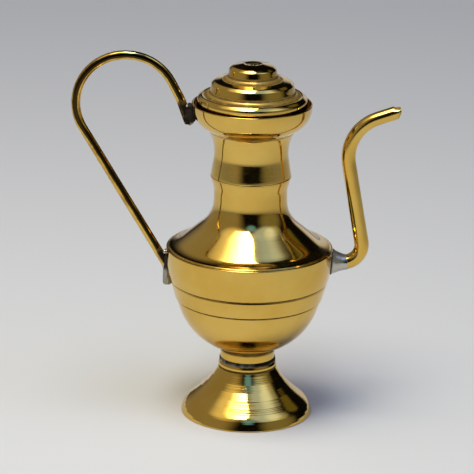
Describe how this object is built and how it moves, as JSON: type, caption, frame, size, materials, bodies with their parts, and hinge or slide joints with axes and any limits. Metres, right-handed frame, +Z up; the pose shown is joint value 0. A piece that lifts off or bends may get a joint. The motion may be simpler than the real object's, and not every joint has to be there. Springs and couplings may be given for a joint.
{
  "type": "coffee pot",
  "caption": "Slim polished brass coffee pot on a pedestal foot, with a banded bowl, trumpet neck, loose stepped lid, bent tube spout and tall rod handle.",
  "frame": {"origin": "on the pot's axis, in the plane that the foot stands on", "axes": "+Z up along the pot's axis; +X towards the spout; the handle is on -X; +Y completes the right-handed set"},
  "size_m": [0.1757, 0.09, 0.2016],
  "materials": {
    "brass": "polished, fine turning marks",
    "solder": "dull grey soft solder"
  },
  "bodies": {
    "pot": {"foot": "brass", "bowl": "brass", "shoulder": "brass", "mouth_cup": "brass", "spout": "brass", "handle": "brass", "foot_solder": "solder", "rim_solder": "solder", "neck_seam": "brass", "spout_solder": "solder", "handle_top_solder": "solder", "handle_bottom_solder": "solder"},
    "lid": {"lid": "brass"}
  },
  "joints": [
    {"name": "lid_lift", "type": "slide", "parent": "pot", "child": "lid", "axis": [0, 0, 1], "range_m": [0, 0.06]}
  ]
}
